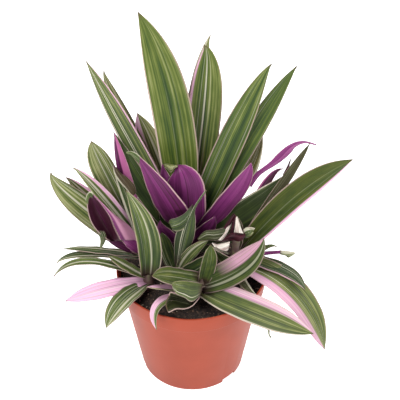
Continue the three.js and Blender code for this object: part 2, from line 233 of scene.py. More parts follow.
BRACT_LEAF = [
    [(33, -1, 145.5), (33.5, -3, 143.5), (34.5, -3, 138.5)],
    [(25.5, -4, 140.5), (26, -7, 138), (27, -6, 131)],
    [(17, -7, 140), (17.5, -11, 138.5), (19, -10, 132.5)],
    [(10, -9, 140.5), (11, -12, 139.5), (12.5, -11, 133.5)],
    [(4.5, -10, 134), (5, -11, 134), (5, -11, 133.5)],
]
CENTRE_BLADE = [
    [(-8.5, -4, 103.5), (-11, -6, 104.5), (-13.5, -4, 103.5)],
    [(-2, -6, 120.5), (-8.5, -9, 121), (-13.5, -6, 120.5)],
    [(2, -8, 135), (-6, -10, 136), (-12.5, -7, 134.5)],
    [(3, -9, 149.5), (-3, -11, 150), (-8, -8, 148)],
    [(2.5, -10, 161.5), (0, -12, 160), (-2, -9, 158)],
    [(6.5, -11, 171.5), (4, -12, 169.5), (3, -10, 167)],
    [(11, -12, 180.5), (10.5, -12.5, 181.5), (10, -12, 180.5)],
]
CENTRE_WING = [
    [(1, -10, 167), (1, -10, 165), (1, -9, 161.5)],
    [(-5, -10, 158.5), (-3.5, -12, 156), (-2, -10, 150.5)],
    [(-11, -10, 154.5), (-8.5, -13, 151.5), (-6.5, -10, 143.5)],
    [(-15.5, -10, 153), (-14, -13, 149), (-11.5, -11, 142.5)],
    [(-17, -10, 150), (-15.5, -11, 148), (-14.5, -11, 144.5)],
]
HOLLOW_LEFT = [
    [(-62.5, -7, 130), (-59.5, 0, 124), (-54, -7, 131)],
    [(-70.5, -8, 140), (-64, 1, 133.5), (-58, -6, 142)],
    [(-75, -9, 151), (-68.5, 1, 145), (-60.5, -7, 154)],
    [(-76.5, -9, 164.5), (-72.5, -2, 160), (-66.5, -7, 166.5)],
    [(-75, -8, 172.5), (-73, -9, 174.5), (-71.5, -8, 174.5)],
]
HOLLOW_RIGHT = [
    [(-54, -7, 131), (-47, -9, 132.5), (-40.5, -3, 127.5)],
    [(-57.5, -6, 142), (-52, -9, 145), (-46, -3, 139.5)],
    [(-60.5, -7, 154), (-57, -8, 154.5), (-54.5, -4, 150)],
    [(-66.5, -7, 166.5), (-64, -8, 165), (-62.5, -5, 159)],
    [(-71.5, -8, 174.5), (-71, -8.5, 175), (-71, -8, 174.5)],
]
HOLLOW_CAP = [
    [(-71, -8, 175), (-71.5, -9.5, 174.5), (-72, -9, 172.5)],
    [(-72.5, -8, 177.5), (-73.5, -10, 177), (-73.5, -9, 174)],
    [(-75.5, -8, 175.5), (-75.5, -10, 174), (-75, -9.5, 171.5)],
    [(-77, -8.5, 171), (-76.5, -10, 169), (-75.5, -9.5, 167)],
]

# The leaves, shoot by shoot
LEAVES = {
    # The tall fan of the main shoot
    "main_tall": blade("main", 117, (-14, 27, 227), (-35, 30, 299), 30, face=272, fold=11, taper=3.2,
        cream=0.15, warm=0.1, pale=(0.94, 1.1)),
    "main_back": blade("main", 114, (11.5, 44, 226), (10, 54, 263), 26, face=268, fold=12, taper=5,
        tone=-0.2, cream=0.35, pale=(0.02, 0.1), pink=(0.85, 1.15)),
    "main_back_left": blade("main", 108, (6, 50, 223), (15, 62, 267), 18, face=272, fold=8,
        tone=1, cream=1, pale=(0.2, 1.1)),
    "main_right": blade("main", 111, (38, 25, 221), (57, 26, 262), 21, face=262, fold=12, taper=2.8,
        tone=-0.2, cream=0.3),
    "main_far_right": blade("main", 106, (51, 30, 213), (76, 34, 256), 17, face=258, fold=12,
        tone=-0.3, cream=0.3),
    "main_left": blade("main", 109, (-52, 28, 216), (-73, 30, 263), 15, face=280,
        tone=0.25, cream=1, pale=(0.06, 0.1), pink=(-1.1, -0.86)),
    # main_left_back and main_slim are lightened by their tone as painted light, against the shade of the
    # leaves in front.
    "main_left_back": blade("main", 104, (-51, 43, 209), (-63, 47, 247), 15, face=275,
        tone=0.8, pale=(0.1, 0.25), cream=1),
    "main_slim": blade("main", 100, (-24, 38, 160), (-40, 43, 213), 22, face=275, fold=12, base=0.35,
        taper=4.5, pink=(0.2, 1.1), tone=0.9, cream=1, pale=(-0.3, -0.2)),
    "main_left_low": blade("main", 104, (-37, 17, 163), (-56, 18, 212), 15, face=290, base=0.35,
        tone=-0.9, cream=0.2, brown=0.15),
    "main_rimmed": blade("main", 100, (50, 19, 143), (73, 23, 171), 22, face=250, fold=12, base=0.3,
        tone=-0.9, cream=0.2, brown=0.2, pale=(0.88, 1.1)),
    "main_right_low": blade("main", 96, (38, 32, 152), (54, 36, 200), 14, face=260, base=0.3,
        tone=0.3, pale=(-1.1, -0.75), warm=1, brown=0.3, cream=0.8),
    # Purple undersides turned to the front, low on the main shoot
    "purple_left": blade("main", 108, (-20, -7, 169), (-38, -10, 211), 29, face=70, fold=12, base=0.5,
        peak=0.42, taper=2, kind="purple", tone=-0.3),
    "purple_centre": blade("main", 104, (-4, 4, 167), (-10, 10, 188), 30, face=95, fold=12, base=0.3,
        taper=6, kind="purple", tone=-0.2),
    "purple_right": blade("main", 101, (31, 11, 156), (44, 8, 191), 22, face=105, fold=12, base=0.35,
        peak=0.5, kind="purple"),
    "purple_slim": crumpled("purple", (SLIM_LEAF, dict(tone=0.5))),
    # The left shoot
    "left_far": blade("left", 99, (-88, 5, 160), (-102, 2, 188), 20, face=300, fold=12,
        tone=0.8, pale=(-0.12, 0.04), cream=1),
    "left_far_back": blade("left", 98, (-80, 16, 156), (-94, 14, 175), 14, face=300, fold=12,
        tone=0.2, pale=(-0.2, 0), pink=(-1, -0.6)),
    "left_folded": blade("left", 103, (-69, 6, 167), (-86, 2, 192), 12, face=310, fold=25,
        tone=0.35, pale=(-0.15, 0.15), pink=(-1, -0.5), cream=0.9),
    "left_blunt": blade("left", 105, (-65, 20, 175), (-73, 20, 203), 19, face=280, fold=12, peak=0.55,
        taper=5, tone=0.7, pale=(-0.02, 0.06), cream=0.9),
    "left_magenta": blade("left", 107, (-49, 12, 174), (-55, 13, 214), 10.5, face=100, fold=16, base=0.3,
        kind="purple", pink=(-0.1, 1.1), tone=-0.9),
    # left_purple: a hollow leaf whose left half is darkened as painted shade, and whose pink right half is
    # dulled by painted shade.
    "left_purple": crumpled(
        "purple",
        (HOLLOW_LEFT, dict(tone=-1.5)),
        (HOLLOW_RIGHT, dict(tone=0, pink=(-0.4, 1.1), dusk=0.8)),
        (HOLLOW_CAP, dict(tone=0.2, pale=(-1.1, -0.4))),
    ),
    "left_strap_upper": blade("left", 95, (-77, 1, 114), (-99, -4, 120), 9, tone=-0.2, pale=(-0.6, -0.4)),
    "left_strap_middle": blade("left", 92, (-83, -3, 113), (-105, -8, 109), 10,
        tone=-0.2, pale=(0.2, 0.5)),
    # The front left shoot
    "left_strap_lower": blade("front_left", 98, (-78, -18, 119), (-106, -20, 106), 9,
        tone=-0.1, pale=(-0.1, 0.2)),
    "front_left_short": blade("front_left", 99, (-51, -14, 110), (-64, -14, 121), 12, base=0.6,
        tone=-0.1, pale=(-0.3, 0)),
    "front_left_tall": blade("front_left", 104, (-33, -16, 147), (-46, -20, 187), 19, face=268, fold=18,
        base=0.8, peak=0.35, taper=2.4, pale=(-0.12, -0.02), cream=0.7),
    "front_left_pink": blade("front_left", 96, (-69, -33, 103), (-95, -41, 100), 15, roll=-18, fold=8,
        kind="pink", pink=(-1.2, 1.2)),
    "front_left_drooping": blade("front_left", 94, (-52, -44, 102), (-63, -64, 95), 17, fold=12,
        tone=-0.2, pale=(0.3, 0.5), cream=0.8),
    # Small leaves of the centre shoot
    # centre_tall is darkened by its tone as painted shade.
    "centre_tall": crumpled(
        "green",
        (CENTRE_BLADE, dict(tone=-0.7, cream=1)),
        (CENTRE_WING, dict(tone=-0.9, cream=1)),
    ),
    "centre_round": blade("centre", 94, (-20, -2, 118), (-23, -2, 134), 12, face=280, taper=4,
        tone=-0.4, cream=0.8),
    "centre_right": blade("centre", 96, (0, -8, 120), (13, -8, 131), 11, face=265, base=0.5,
        tone=0.2, pale=(0.1, 0.45), cream=1),
    # The front shoot
    "front_across": blade("front", 103, (-10, -34, 115), (-29, -44, 127), 21, roll=-12, fold=12,
        base=0.85, tone=-0.15, warm=0.3),
    "front_pink_tip": blade("front", 96, (-15, -41, 112), (-33, -50, 122), 9, fold=10, kind="pink",
        pink=(-1, 0.5), dusk=0.3),
    "front_curled": crumpled(
        "green",
        (CURLED_LID, dict(tone=-0.2, brown=0.15, cream=1)),
        # The inside of the curl is dark brown, darkened as painted shade of the hollow.
        (CURLED_INSIDE, dict(tone=-1.1, brown=0.4, cream=0.3)),
    ),
    "front_small": blade("front", 92, (-23, -54, 110), (-26, -68, 97), 9, kind="pink",
        pink=(-1.1, 0.1), dusk=0.3),
    "front_right_long": blade("front", 97, (46, -57, 104), (87, -75, 98), 23, roll=22, fold=12, base=0.75,
        tone=0.4, pink=(0.5, 1.1), dusk=0.35, pale=(-1.1, -0.9), cream=1, warm=0.3),
    "bract_ruffled": blade("right", 104, (17, -9, 122), (10, -14, 121), 8, base=0.6, kind="pink",
        tone=0.9, pale=(-0.6, 0.6)),
    "front_right_up": blade("front", 102, (38, -31, 126), (53, -26, 147), 21, face=235, base=0.8,
        pink=(0.1, 0.95), pink_start=0.4, dusk=0.85, tone=-0.7, warm=0.3, cream=0.4),
    "front_inner": blade("front", 105, (13, -24, 123), (14, -22, 138), 12, face=268, fold=16, base=0.8,
        tone=-0.5, warm=0.3, cream=0.3),
    # The right shoot
    "right_long": blade("right", 102, (76, 6, 159.5), (118, 6, 194.5), 20, face=235, fold=10, peak=0.5,
        tone=-0.45, cream=0.12, warm=0.5, pink=(-1.1, -0.82)),
    # right_dark lies in shadow, and its tone and brown darken it further as painted shade.
    "right_dark": blade("right", 107, (73, 16, 172.5), (87, 15, 203), 8, face=245, fold=10, base=0.6,
        tone=-0.9, cream=0.2, brown=0.55),
    "right_behind": blade("right", 98, (55, 25, 153), (72, 36, 166), 9, face=65, base=0.5, kind="purple",
        tone=-1.2, pink=(-1, -0.6)),
    "right_drooping": blade("right", 98, (77, -27, 95), (104, -44, 48), 24, roll=14, fold=10, base=0.75,
        tone=0.25, pink=(-1.1, -0.4), dusk=0.5, cream=1, warm=0.3),
    "right_twisted": blade("right", 103, (70, -13, 104), (86, -32, 101), 13, roll=10, fold=20,
        tone=-0.8, pink=(-1.1, -0.8), dusk=0.6, cream=0.8),
    "right_small_low": blade("right", 93, (40, -34, 107), (49, -42, 104), 8,
        tone=-0.6, brown=0.5, pale=(0.6, 1.1)),
    "right_slim": blade("right", 90, (56, 5, 110), (67, 6, 112), 7),
    "right_tip": crumpled(
        "pink",
        (RIGHT_TIP, dict(tone=0.2)),
        (RIGHT_TIP_END, dict(tone=0.2, cream=1, pale=(0.2, 1.1))),
    ),
    "bract": blade("right", 106, (35, -2, 137), (33, -2, 150), 10, face=290, fold=26, kind="pink",
        tone=-1, brown=0.6),
    "bract_low": crumpled("green", (BRACT_LEAF, dict(tone=-1, brown=0.3, cream=0.7))),
    # Leaves arching down behind the clump
    "back_left": blade("main", 102, (-32, 62, 132), (-48, 84, 112), 22, fold=12),
    "back_middle": blade("main", 105, (-3, 70, 138), (-4, 100, 116), 24, fold=12),
    "back_right": blade("main", 102, (30, 62, 132), (44, 86, 112), 22, fold=12),
}

# Small leaves that fill the clump around the shoots
EXTRA_LEAVES = {
    "under_right_up": blade("front", 100, (38, -28, 118), (53, -20, 132), 13, face=235, base=0.8,
        pink=(0.55, 1.1), tone=0.2),
    "left_sheath": blade("left", 98, (-50, 4, 126), (-57, 6, 140), 12, face=110, fold=-12, base=0.8,
        kind="purple", pink=(0.3, 1.1)),
    "left_sheath_low": blade("left", 98, (-46, 0, 120), (-54, 2, 126), 12, face=110, base=0.8,
        kind="purple", tone=0.4),
    "left_edge": blade("left", 100, (-48, 11, 154), (-58, 12, 186), 9, face=285, base=0.5,
        tone=-0.5, pale=(0.6, 1.1)),
    "left_base": blade("left", 96, (-53, 6, 113), (-66, 4, 122), 9, face=110, base=0.8, kind="purple",
        tone=-0.8),
    "left_gap_dark": blade("left", 98, (-34, 17, 139), (-40, 18, 162), 18, face=285, base=0.8,
        tone=-0.9, cream=0.1, brown=0.4),
    "left_gap_low": blade("left", 98, (-32, 10, 118), (-35, 11, 136), 16, face=95, base=0.8,
        kind="purple", tone=-0.5),
    "main_sheath": blade("main", 100, (-20, 6, 126), (-24, 4, 141), 13, face=95, base=0.8, kind="purple",
        tone=0.3),
    "purple_centre_left": blade("main", 98, (-16, 6, 159), (-21, 8, 190), 13, face=95, base=0.4, peak=0.6,
        kind="purple", tone=-0.3),
    "main_sheath_right": blade("main", 98, (12, 8, 128), (18, 8, 142), 15, face=85, base=0.8,
        kind="purple", tone=-0.6),
    "right_fill": blade("right", 98, (27, -13, 115), (17, -16, 128), 13, face=275, base=0.8, tone=-0.6),
    "centre_fill": blade("centre", 92, (7, -12, 112), (22, -10, 121), 11, face=250, base=0.8, tone=-0.5),
    "right_low_fill": blade("right", 98, (36, -8, 109), (42, -6, 118), 11, face=260, base=0.8, tone=-0.4),
    "main_right_fill": blade("main", 96, (36, 18, 118), (46, 20, 130), 14, face=255, base=0.8, tone=-0.6),
    "front_left_fill": blade("front_left", 98, (-32, -10, 121), (-35, -8, 134), 12, face=275, base=0.8,
        tone=-0.7),
}

# Crumpled leaflets and petals that stand for no leaf of the tables, and a dark sheet of painted shade
# between the petals
SHEETS = {
    # A near-black sheet that stands for the shade between the bract's petals: painted shade.
    "petal_gap_shade": sheet("lip", net=[
        [(28.5, -8, 135), (30, -9, 135.5), (31.5, -8, 135)],
        [(30, -6, 141), (31, -8, 142.5), (32, -7, 141.5)],
        [(31.5, -4, 146), (32, -6, 147.5), (32.5, -5, 147)],
        [(33, -2, 150), (33.5, -2.5, 150), (33.5, -2, 149.5)],
    ]),
    "petal_right": sheet("petal", net=[
        [(31.5, -9, 135.5), (35.5, -9.5, 135.5), (40, -7, 135)],
        [(32.5, -8, 141.5), (35, -8.5, 141.5), (37.5, -6, 140)],
        [(33, -6, 146), (34.5, -6.5, 146.5), (36, -5, 145)],
        [(33.5, -3, 149), (34, -3, 149.5), (34.5, -3, 148.5)],
    ]),
    "bract_lip": sheet("lip", net=[
        [(41, -8, 136.5), (40, -11, 137), (39.5, -10, 134)],
        [(35.5, -10, 139), (35.5, -14, 138.5), (36, -12, 133)],
        [(32, -11, 140.5), (31.5, -14.5, 140), (31.5, -12.5, 134.5)],
        [(28, -11, 139), (27, -14, 138.5), (28, -12, 133.5)],
        [(23.5, -12, 134), (22, -13, 133.5), (21.5, -12, 132)],
    ]),
    "bract_wing": sheet("petal", net=[
        [(31, 0, 147), (31.5, 0, 146.5), (32, 0, 146)],
        [(28.5, -3, 143.5), (29.5, -4, 143), (30.5, -3, 142)],
        [(24.5, -6, 138), (26, -8, 138), (27.5, -6, 136.5)],
        [(20, -10, 132.5), (22, -11, 133), (24, -9, 132.5)],
    ]),
    "bract_edge": sheet("lip", net=[
        [(22.5, -6, 136), (23, -7, 136), (24, -7, 135)],
        [(25.5, -4, 142.5), (26.5, -5, 141.5), (27.5, -5, 140)],
        [(28.5, -3, 147.5), (29.5, -4, 147), (30.5, -4, 145.5)],
        [(32, -1, 151), (32.5, -2, 151), (33, -2, 150.5)],
    ]),
    "pleated_leaflet": sheet("green", tone=0, cream=1, pale=(0.3, 1.2), net=[
        [(40.5, -6, 131), (40, -5, 134), (39, -4, 137.5)],
        [(44, -4, 130.5), (43, -6, 137), (42, -3, 139)],
        [(45.5, -5, 133), (45.5, -3, 135.5), (45, -5, 140.5)],
        [(47, -3, 133.5), (47.5, -4, 137), (48.5, -2, 137.5)],
    ]),
    "ruffled_leaflet": sheet("petal", net=[
        [(19, -15, 130), (17, -14, 130), (15.5, -12, 131.5)],
        [(23, -15, 127), (20.5, -14, 128), (19, -10, 128.5)],
        [(26, -13, 124), (24.5, -13, 128.5), (24, -10, 129.5)],
        [(27.5, -12, 124.5), (28.5, -12, 129.5), (29, -10, 131)],
    ]),
    "purple_left_tip": sheet("green", tone=0.1, pale=(-1.2, -0.5), net=[
        [(-32.5, -9, 203), (-34, -10, 203), (-36, -9, 201)],
        [(-36.5, -10, 210), (-37.5, -12, 210), (-39.5, -10, 207)],
        [(-41, -10, 213), (-41.5, -12, 213.5), (-42, -10, 210.5)],
        [(-45, -9, 212), (-45, -10, 212), (-44.5, -9, 211)],
    ]),
    "purple_centre_fold": sheet("green", tone=0.9, warm=0.5, cream=1, net=[
        [(-20, 7, 189.5), (-20, 7, 190.5), (-20, 8, 190.5)],
        [(-17.5, 4, 189), (-17.5, 3, 192), (-17, 7, 191)],
        [(-15, 3, 186.5), (-15, 1, 191.5), (-15, 6, 191)],
        [(-12.5, 4, 189), (-12.5, 3, 191.5), (-12.5, 7, 190)],
        [(-10, 7, 188.5), (-10, 7, 189), (-10, 8, 189)],
    ]),
    "left_hook": sheet("green", tone=-0.4, brown=0.2, cream=0.6, net=[
        [(-72, -6, 139), (-69, -7, 140.5), (-66, -6, 139)],
        [(-70, -6, 134), (-67.5, -8, 135.5), (-65, -6, 134)],
        [(-69.5, -7, 130), (-67.5, -8, 130.5), (-66, -7, 130)],
        [(-70.5, -8, 124.5), (-69.5, -8, 124), (-68.5, -8, 125)],
    ]),
    "brown_crumple": sheet("green", tone=-0.8, brown=0.9, cream=0.2, pale=(-1.2, -0.6), net=[
        [(-57, 8, 189.5), (-55.5, 6, 189.5), (-54.5, 8, 187)],
        [(-56.5, 7, 182.5), (-53.5, 5, 185.5), (-52, 8, 182.5)],
        [(-53, 7, 175), (-49.5, 5, 178.5), (-47, 8, 178)],
        [(-48, 7, 168), (-45.5, 5, 171), (-42.5, 8, 171.5)],
        [(-44.5, 7, 161.5), (-43, 6, 164), (-41.5, 8, 165)],
    ]),
    "rimmed_spike": sheet("lip", net=[
        [(70, 24, 168.5), (71, 23, 168), (73, 24, 166)],
        [(72, 25, 172.5), (73, 24, 172.5), (74, 25, 171.5)],
        [(74, 26, 177), (74.5, 25.5, 177), (75, 26, 176.5)],
        [(75.5, 27, 181), (75.5, 27, 181), (76, 27, 181)],
    ]),
    "drooping_shred": sheet("green", tone=-0.3, net=[
        [(53.5, -64, 99.5), (54.5, -65, 100.5), (56, -64, 99.5)],
        [(55, -66, 95.5), (55.5, -67, 96.5), (56.5, -66, 95)],
        [(56, -66, 89), (56, -67, 90), (56.5, -66, 89)],
        [(57.5, -66, 85.5), (57.5, -67, 86), (58, -66, 85.5)],
    ]),
}
SHEET_SLOTS = {"petal": "leaf_pink", "lip": "leaf_purple", "green": "leaf_green"}


def is_socket(value):
    return isinstance(value, bpy.types.NodeSocket)


def new_node(kind, *values):
    """A node in the tree that the first socket among the values belongs to."""
    tree = next(value.id_data for value in values if is_socket(value))
    return tree.nodes.new(f"ShaderNode{kind}")


def feed(socket, value):
    """Links a socket, or sets a number or a colour."""
    if is_socket(value):
        socket.id_data.links.new(value, socket)
    elif isinstance(value, (int, float)):
        socket.default_value = value
    else:
        socket.default_value = (*value, 1)


def math_node(operation, *inputs, clamp=False):
    node = new_node("Math", *inputs)
    node.operation = operation
    node.use_clamp = clamp
    for socket, value in zip(node.inputs, inputs):
        feed(socket, value)
    return node.outputs[0]


def add(first, second, clamp=False):
    return math_node("ADD", first, second, clamp=clamp)


def subtract(first, second, clamp=False):
    return math_node("SUBTRACT", first, second, clamp=clamp)


def multiply(first, second, clamp=False):
    return math_node("MULTIPLY", first, second, clamp=clamp)


def scaled(value, factor, added, clamp=False):
    """value times factor, plus added."""
    return math_node("MULTIPLY_ADD", value, factor, added, clamp=clamp)


def mixed(share, first, second):
    """A colour between first and second, which are colours or sockets, by a share or socket."""
    node = new_node("Mix", share, first, second)
    node.data_type = "RGBA"
    for k, value in ((0, share), (6, first), (7, second)):
        feed(node.inputs[k], value)
    return node.outputs[2]


def attribute(tree, name):
    node = tree.nodes.new("ShaderNodeAttribute")
    node.attribute_name = name
    return node.outputs["Fac"]


def band(place, low, high, soft):
    """1 where place lies between low and high, with soft ends."""
    rise = math_node("DIVIDE", subtract(place, low), soft)
    fall = math_node("DIVIDE", subtract(high, place), soft)
    return add(math_node("MINIMUM", rise, fall), 0.5, clamp=True)


def above(place, low, soft):
    """1 where place, which is never near 2, lies above low."""
    return band(place, low, 2, soft)


def marked_band(place, mark, soft):
    """1 inside the pink or the pale band of the leaf."""
    low, high = (attribute(place.id_data, f"{mark}_{end}") for end in ("from", "to"))
    return band(place, low, high, soft)


def noise_of(place, scale, detail=2, roughness=0.5):
    node = new_node("TexNoise", place)
    for key, value in (("Vector", place), ("Scale", scale), ("Detail", detail), ("Roughness", roughness)):
        feed(node.inputs[key], value)
    return node.outputs["Fac"]


def ramp(share, stops):
    """Colours at places along a share: stops is a list of (place, colour)."""
    node = new_node("ValToRGB", share)
    elements = node.color_ramp.elements
    while len(elements) < len(stops):
        elements.new(0.5)
    for element, (place, colour) in zip(elements, stops):
        element.position = place
        element.color = (*colour, 1)
    feed(node.inputs[0], share)
    return node.outputs[0]


def new_material(name, roughness, specular=0.5):
    material = bpy.data.materials.new(name)
    material.use_nodes = True
    inputs = material.node_tree.nodes["Principled BSDF"].inputs
    inputs["Roughness"].default_value = roughness
    inputs["Specular IOR Level"].default_value = specular
    return material, material.node_tree


def painted(material, colour, height=None, strength=1, depth=0):
    """The material with its colour, and with a height as relief of a depth in metres."""
    inputs = material.node_tree.nodes["Principled BSDF"].inputs
    feed(inputs["Base Color"], colour)
    if height is not None:
        bump = new_node("Bump", height)
        for key, value in (("Strength", strength), ("Distance", depth), ("Height", height)):
            feed(bump.inputs[key], value)
        feed(inputs["Normal"], bump.outputs[0])
    return material


def object_place(tree):
    return tree.nodes.new("ShaderNodeTexCoord").outputs["Object"]


def leaf_places(tree):
    """Sockets for the place across a blade (-1 to 1), the place along it (0 to 1) and the leaf's seed."""
    uv = tree.nodes.new("ShaderNodeUVMap")
    split = tree.nodes.new("ShaderNodeSeparateXYZ")
    feed(split.inputs[0], uv.outputs[0])
    return scaled(split.outputs[0], 2, -1), split.outputs[1], attribute(tree, "seed")


def streaks(across, along, seed, count, run):
    """Noise drawn out along the blade, with about count streaks across it, and its own for each seed."""
    point = new_node("CombineXYZ", across)
    for socket, place, factor in zip(point.inputs, (across, along, seed), (count / 2, run, SEED_SPREAD)):
        feed(socket, multiply(place, factor))
    return noise_of(point.outputs[0], 1)


# Marks on a blade: the step of its noise from seed to seed, where its rim begins, how uneven bands are
SEED_SPREAD = 37
RIM_START = 0.93
WANDER = 0.12
PINK_SOFTNESS = 0.12

# Colours, and ramps of them as (place, colour)
GREENS = [
    (0.30, (0.008, 0.026, 0.005)),
    (0.43, (0.028, 0.058, 0.010)),
    (0.54, (0.062, 0.094, 0.013)),
    (0.64, (0.130, 0.160, 0.036)),
    (0.78, (0.280, 0.290, 0.130)),
]
PURPLES = [
    (0.32, (0.040, 0.008, 0.018)),
    (0.50, (0.105, 0.013, 0.078)),
    (0.66, (0.190, 0.030, 0.140)),
    (0.85, (0.330, 0.095, 0.240)),
]
TERRACOTTAS = [(0.3, (0.260, 0.038, 0.014)), (0.7, (0.292, 0.045, 0.018))]
PEATS = [(0.35, (0.006, 0.004, 0.003)), (0.55, (0.022, 0.013, 0.009)), (0.75, (0.06, 0.035, 0.022))]
CRUMB_COLOURS = [
    (0.5, (0.012, 0.007, 0.005)),
    (0.75, (0.045, 0.026, 0.017)),
    (0.93, (0.11, 0.065, 0.04)),
    (1.0, (0.35, 0.27, 0.2)),
]
STEM_COLOURS = [(0.3, (0.05, 0.02, 0.022)), (0.55, (0.10, 0.06, 0.05)), (0.75, (0.12, 0.12, 0.05))]
PETAL_COLOURS = [(0.35, (0.40, 0.28, 0.25)), (0.5, (0.68, 0.62, 0.54)), (0.7, (0.82, 0.80, 0.72))]
# Near-black maroon of the bract lip, darkened further as painted shade
LIP_AND_SHADE_COLOURS = [(0.35, (0.010, 0.002, 0.004)), (0.65, (0.055, 0.006, 0.014))]
FLOOR_WHITES = [(0.3, (0.93, 0.93, 0.93)), (0.7, (0.96, 0.96, 0.96))]
PALE = (0.51, 0.49, 0.37)
CREAM_PINK = (0.56, 0.38, 0.36)
BRIGHT_PINK = (0.74, 0.36, 0.58)
PALE_PINK = (0.80, 0.55, 0.66)
MAROON = (0.045, 0.008, 0.020)
BROWN_TIP = (0.10, 0.06, 0.035)
DARK_BROWN = (0.060, 0.038, 0.022)
OLIVE = (0.085, 0.068, 0.012)
MAUVE = (0.420, 0.220, 0.290)
MAGENTA = (0.440, 0.120, 0.280)
PEAT_FLECK = (0.16, 0.10, 0.065)


def wandering(across, fine):
    """The place across a blade, made uneven by its fine streaks."""
    return scaled(subtract(fine, 0.5), WANDER, across)


def striped_green(tree, across, along, seed, fine):
    """Green stripes, lighter or darker by the leaf's tone and its painted light and shade, turned to olive
    and to brown by its marks.
    """
    broad = streaks(across, along, seed, count=9, run=0.4)
    patches = streaks(across, along, add(seed, 7), count=5, run=7)
    paler_tip = scaled(along, 0.12, -0.07)
    paler_tip = scaled(subtract(patches, 0.5), 0.3, paler_tip)
    # The leaf's own tone and its painted light and shade lighten or darken the greens.
    tone = scaled(attribute(tree, "tone"), 0.16, paler_tip)
    level = scaled(subtract(broad, fine), 0.5, fine)
    cream = attribute(tree, "cream")
    contrast = scaled(cream, 0.9, 0.7)
    level = scaled(subtract(level, 0.5), contrast, 0.5)
    colour = ramp(add(level, tone), GREENS)
    colour = mixed(multiply(cream, 0.06), colour, PALE)
    colour = mixed(multiply(attribute(tree, "warm"), patches), colour, OLIVE)
    return mixed(attribute(tree, "brown"), colour, DARK_BROWN)


def with_pink(tree, colour, wander, along, fine, hairs):
    """The colour under the leaf's pink band, where it still shows through in hairlines."""
    rose = mixed(above(fine, 0.5, soft=0.16), BRIGHT_PINK, PALE_PINK)
    # Painted shade dulls the pink towards mauve.
    rose = mixed(attribute(tree, "dusk"), rose, MAUVE)
    cover = scaled(above(hairs, 0.56, soft=0.1), -0.45, 0.95)
    cover = multiply(cover, above(along, attribute(tree, "pink_start"), soft=0.3))
    pink = marked_band(wander, "pink", PINK_SOFTNESS)
    return mixed(multiply(pink, cover), colour, rose)


def make_upper_material():
    """The striped upper side of a leaf."""
    material, tree = new_material("leaf_upper", roughness=0.42, specular=0.14)
    across, along, seed = leaf_places(tree)
    fine = streaks(across, along, seed, count=36, run=0.8)
    hairs = streaks(across, along, add(seed, 3), count=17, run=0.25)
    wander = wandering(across, fine)
    colour = striped_green(tree, across, along, seed, fine)
    hairline = above(hairs, 0.63, soft=0.05)
    colour = mixed(multiply(hairline, attribute(tree, "cream")), colour, PALE)
    pale = marked_band(wander, "pale", soft=0.06)
    colour = mixed(multiply(pale, 0.85), colour, PALE)
    colour = with_pink(tree, colour, wander, along, fine, hairs)
    rim = above(math_node("ABSOLUTE", wander), RIM_START, soft=0.06)
    colour = mixed(multiply(rim, hairs, clamp=True), colour, CREAM_PINK)
    # The first seventh of the length turns maroon towards the stem, and the last few hundredths are brown
    root = subtract(1, multiply(along, 7), clamp=True)
    colour = mixed(multiply(root, 0.7), colour, MAROON)
    tip = scaled(along, 25, -24.2, clamp=True)
    colour = mixed(tip, colour, BROWN_TIP)
    return painted(material, colour, fine, strength=0.25, depth=0.0006)


def make_under_material():
    """The purple underside of a leaf."""
    material, tree = new_material("leaf_under", roughness=0.45, specular=0.2)
    across, along, seed = leaf_places(tree)
    broad = streaks(across, along, seed, count=6, run=0.6)
    fine = streaks(across, along, seed, count=34, run=1.2)
    wander = wandering(across, fine)
    level = scaled(subtract(broad, fine), 0.55, fine)
    # The leaf's own tone and its painted light and shade lighten or darken the purples.
    level = scaled(attribute(tree, "tone"), 0.2, level)
    colour = ramp(scaled(along, 0.12, level), PURPLES)
    # Painted shade dulls the magenta band towards mauve.
    rose = mixed(attribute(tree, "dusk"), MAGENTA, MAUVE)
    pink = marked_band(wander, "pink", PINK_SOFTNESS)
    colour = mixed(multiply(pink, 0.8), colour, rose)
    rim = above(math_node("ABSOLUTE", wander), RIM_START, soft=0.05)
    colour = mixed(multiply(rim, 0.7), colour, CREAM_PINK)
    return painted(material, colour, fine, strength=0.2, depth=0.0006)


def make_petal_material():
    material, tree = new_material("petal", roughness=0.5)
    veins = streaks(*leaf_places(tree), count=8, run=1)
    return painted(material, ramp(veins, PETAL_COLOURS))


def make_lip_and_shade_material():
    # The bract lip's own maroon, darkened further as painted shade. The same material makes the dark sheet
    # of painted shade between the petals.
    material, tree = new_material("bract_lip", roughness=0.5, specular=0.2)
    veins = streaks(*leaf_places(tree), count=6, run=2)
    return painted(material, ramp(veins, LIP_AND_SHADE_COLOURS))


def make_pot_material():
    material, tree = new_material("terracotta_plastic", roughness=0.5, specular=0.2)
    cloud = noise_of(object_place(tree), 45, detail=3)
    grain = noise_of(object_place(tree), 900)
    height = scaled(grain, 0.3, cloud)
    return painted(material, ramp(cloud, TERRACOTTAS), height, strength=0.12, depth=0.0008)


def make_soil_material():
    material, tree = new_material("peat", roughness=0.95)
    place = object_place(tree)
    lumps = noise_of(place, 260, detail=4, roughness=0.65)
    flecks = above(noise_of(place, 900), 0.68, soft=0.06)
    colour = mixed(flecks, ramp(lumps, PEATS), PEAT_FLECK)
    return painted(material, colour, lumps, strength=0.9, depth=0.002)


def make_crumb_material():
    material, tree = new_material("peat_crumbs", roughness=0.95)
    return painted(material, ramp(attribute(tree, "seed"), CRUMB_COLOURS))


def make_stem_material():
    material, tree = new_material("stem_skin", roughness=0.6)
    blotch = noise_of(object_place(tree), 160, detail=3)
    return painted(material, ramp(blotch, STEM_COLOURS), blotch, strength=0.3, depth=0.001)


